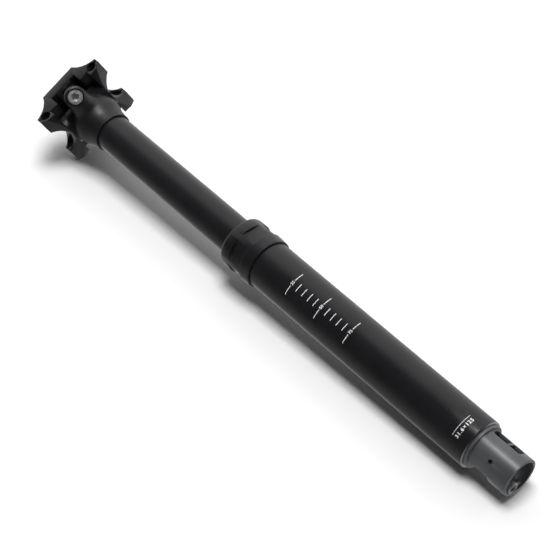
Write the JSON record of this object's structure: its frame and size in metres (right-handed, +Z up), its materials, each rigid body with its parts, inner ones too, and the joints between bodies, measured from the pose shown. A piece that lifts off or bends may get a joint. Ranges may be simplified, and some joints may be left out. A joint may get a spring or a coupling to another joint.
{
  "type": "dropper seatpost",
  "caption": "Height-adjustable bicycle seatpost: a sliding stanchion with a tilting inclined-bolt saddle clamp, driven by a gas spring and released by a cable lever at the foot.",
  "frame": {"origin": "on the post's axis at the collar's underside, where the tube that goes into the frame ends", "axes": "+Z runs up the post to the saddle, X runs across the saddle rails, and -Y is the face with the size marks"},
  "size_m": [0.0552, 0.058, 0.4131],
  "materials": {
    "anodised_black": "satin black anodised",
    "anodised_grey": "satin grey anodised",
    "bare_steel": "bright zinc",
    "bare_alloy": "turned",
    "brass": "machined",
    "black_rubber": "matte",
    "bushing_plastic": "moulded",
    "oiled_foam": "open-cell foam"
  },
  "bodies": {
    "outer": {"outer_tube": "anodised_black", "seal_collar": "anodised_black", "wiper_seal": "black_rubber", "foam_ring": "oiled_foam", "upper_bushing": "bushing_plastic", "base_plug": "bare_alloy", "actuator_sleeve": "anodised_grey", "cable_stop": "anodised_grey", "lever_pivot_pin": "bare_steel", "piston_rod": "bare_steel", "rod_nut": "bare_steel", "main_piston": "bare_alloy", "piston_seal": "black_rubber", "return_spring": "bare_steel"},
    "stanchion": {"stanchion_tube": "anodised_black", "head": "anodised_black", "cartridge_tube": "bare_alloy", "cartridge_gland": "bare_alloy", "rod_seal": "black_rubber", "lower_bushing": "bushing_plastic", "anti_rotation_keys": "brass", "top_out_bumper": "black_rubber", "cartridge_plug": "bare_alloy", "plug_seal": "black_rubber", "retaining_ring": "bare_steel", "clamp_bolts": "bare_steel", "bolt_washers": "bare_steel"},
    "floater": {"floating_piston": "bare_alloy", "floating_piston_seal": "black_rubber"},
    "clamp": {"lower_cradle": "anodised_black", "upper_clamp": "anodised_black"},
    "front_nut": {"front_barrel_nut": "bare_steel"},
    "rear_nut": {"rear_barrel_nut": "bare_steel"},
    "lever": {"release_lever": "bare_steel"},
    "valve": {"release_pin": "bare_steel", "valve_poppet": "brass"}
  },
  "joints": [
    {"name": "post_slide", "type": "slide", "parent": "outer", "child": "stanchion", "axis": [0, 0, 1], "range_m": [-0.125, 0], "stiffness_N_per_m": 800, "springref_m": 0.19},
    {"name": "clamp_tilt", "type": "hinge", "parent": "stanchion", "child": "clamp", "pos_m": [0, 0, 0.1848], "axis": [1, 0, 0], "range_deg": [-3, 18]},
    {"name": "front_nut_turn", "type": "hinge", "parent": "clamp", "child": "front_nut", "pos_m": [0, -0.00573, 0.19472], "axis": [1, 0, 0], "range_deg": [-19, 4]},
    {"name": "rear_nut_turn", "type": "hinge", "parent": "clamp", "child": "rear_nut", "pos_m": [0, 0.00877, 0.19216], "axis": [1, 0, 0], "range_deg": [-19, 4]},
    {"name": "floater_slide", "type": "slide", "parent": "stanchion", "child": "floater", "axis": [0, 0, 1], "range_m": [0, 0.03126]},
    {"name": "lever_pull", "type": "hinge", "parent": "outer", "child": "lever", "pos_m": [0, 0, -0.194], "axis": [-0.3584, -0.9336, 0], "range_deg": [-1, 26]},
    {"name": "valve_lift", "type": "slide", "parent": "outer", "child": "valve", "axis": [0, 0, 1], "range_m": [0, 0.00141], "stiffness_N_per_m": 2400, "springref_m": -0.003, "deforming": ["return_spring"]}
  ],
  "couplings": [
    {"joint": "front_nut_turn", "follows": "clamp_tilt", "ratio": -1},
    {"joint": "rear_nut_turn", "follows": "clamp_tilt", "ratio": -1},
    {"joint": "floater_slide", "follows": "post_slide", "ratio": -0.25},
    {"joint": "lever_pull", "follows": "valve_lift", "rad_per_m": 309.12}
  ]
}
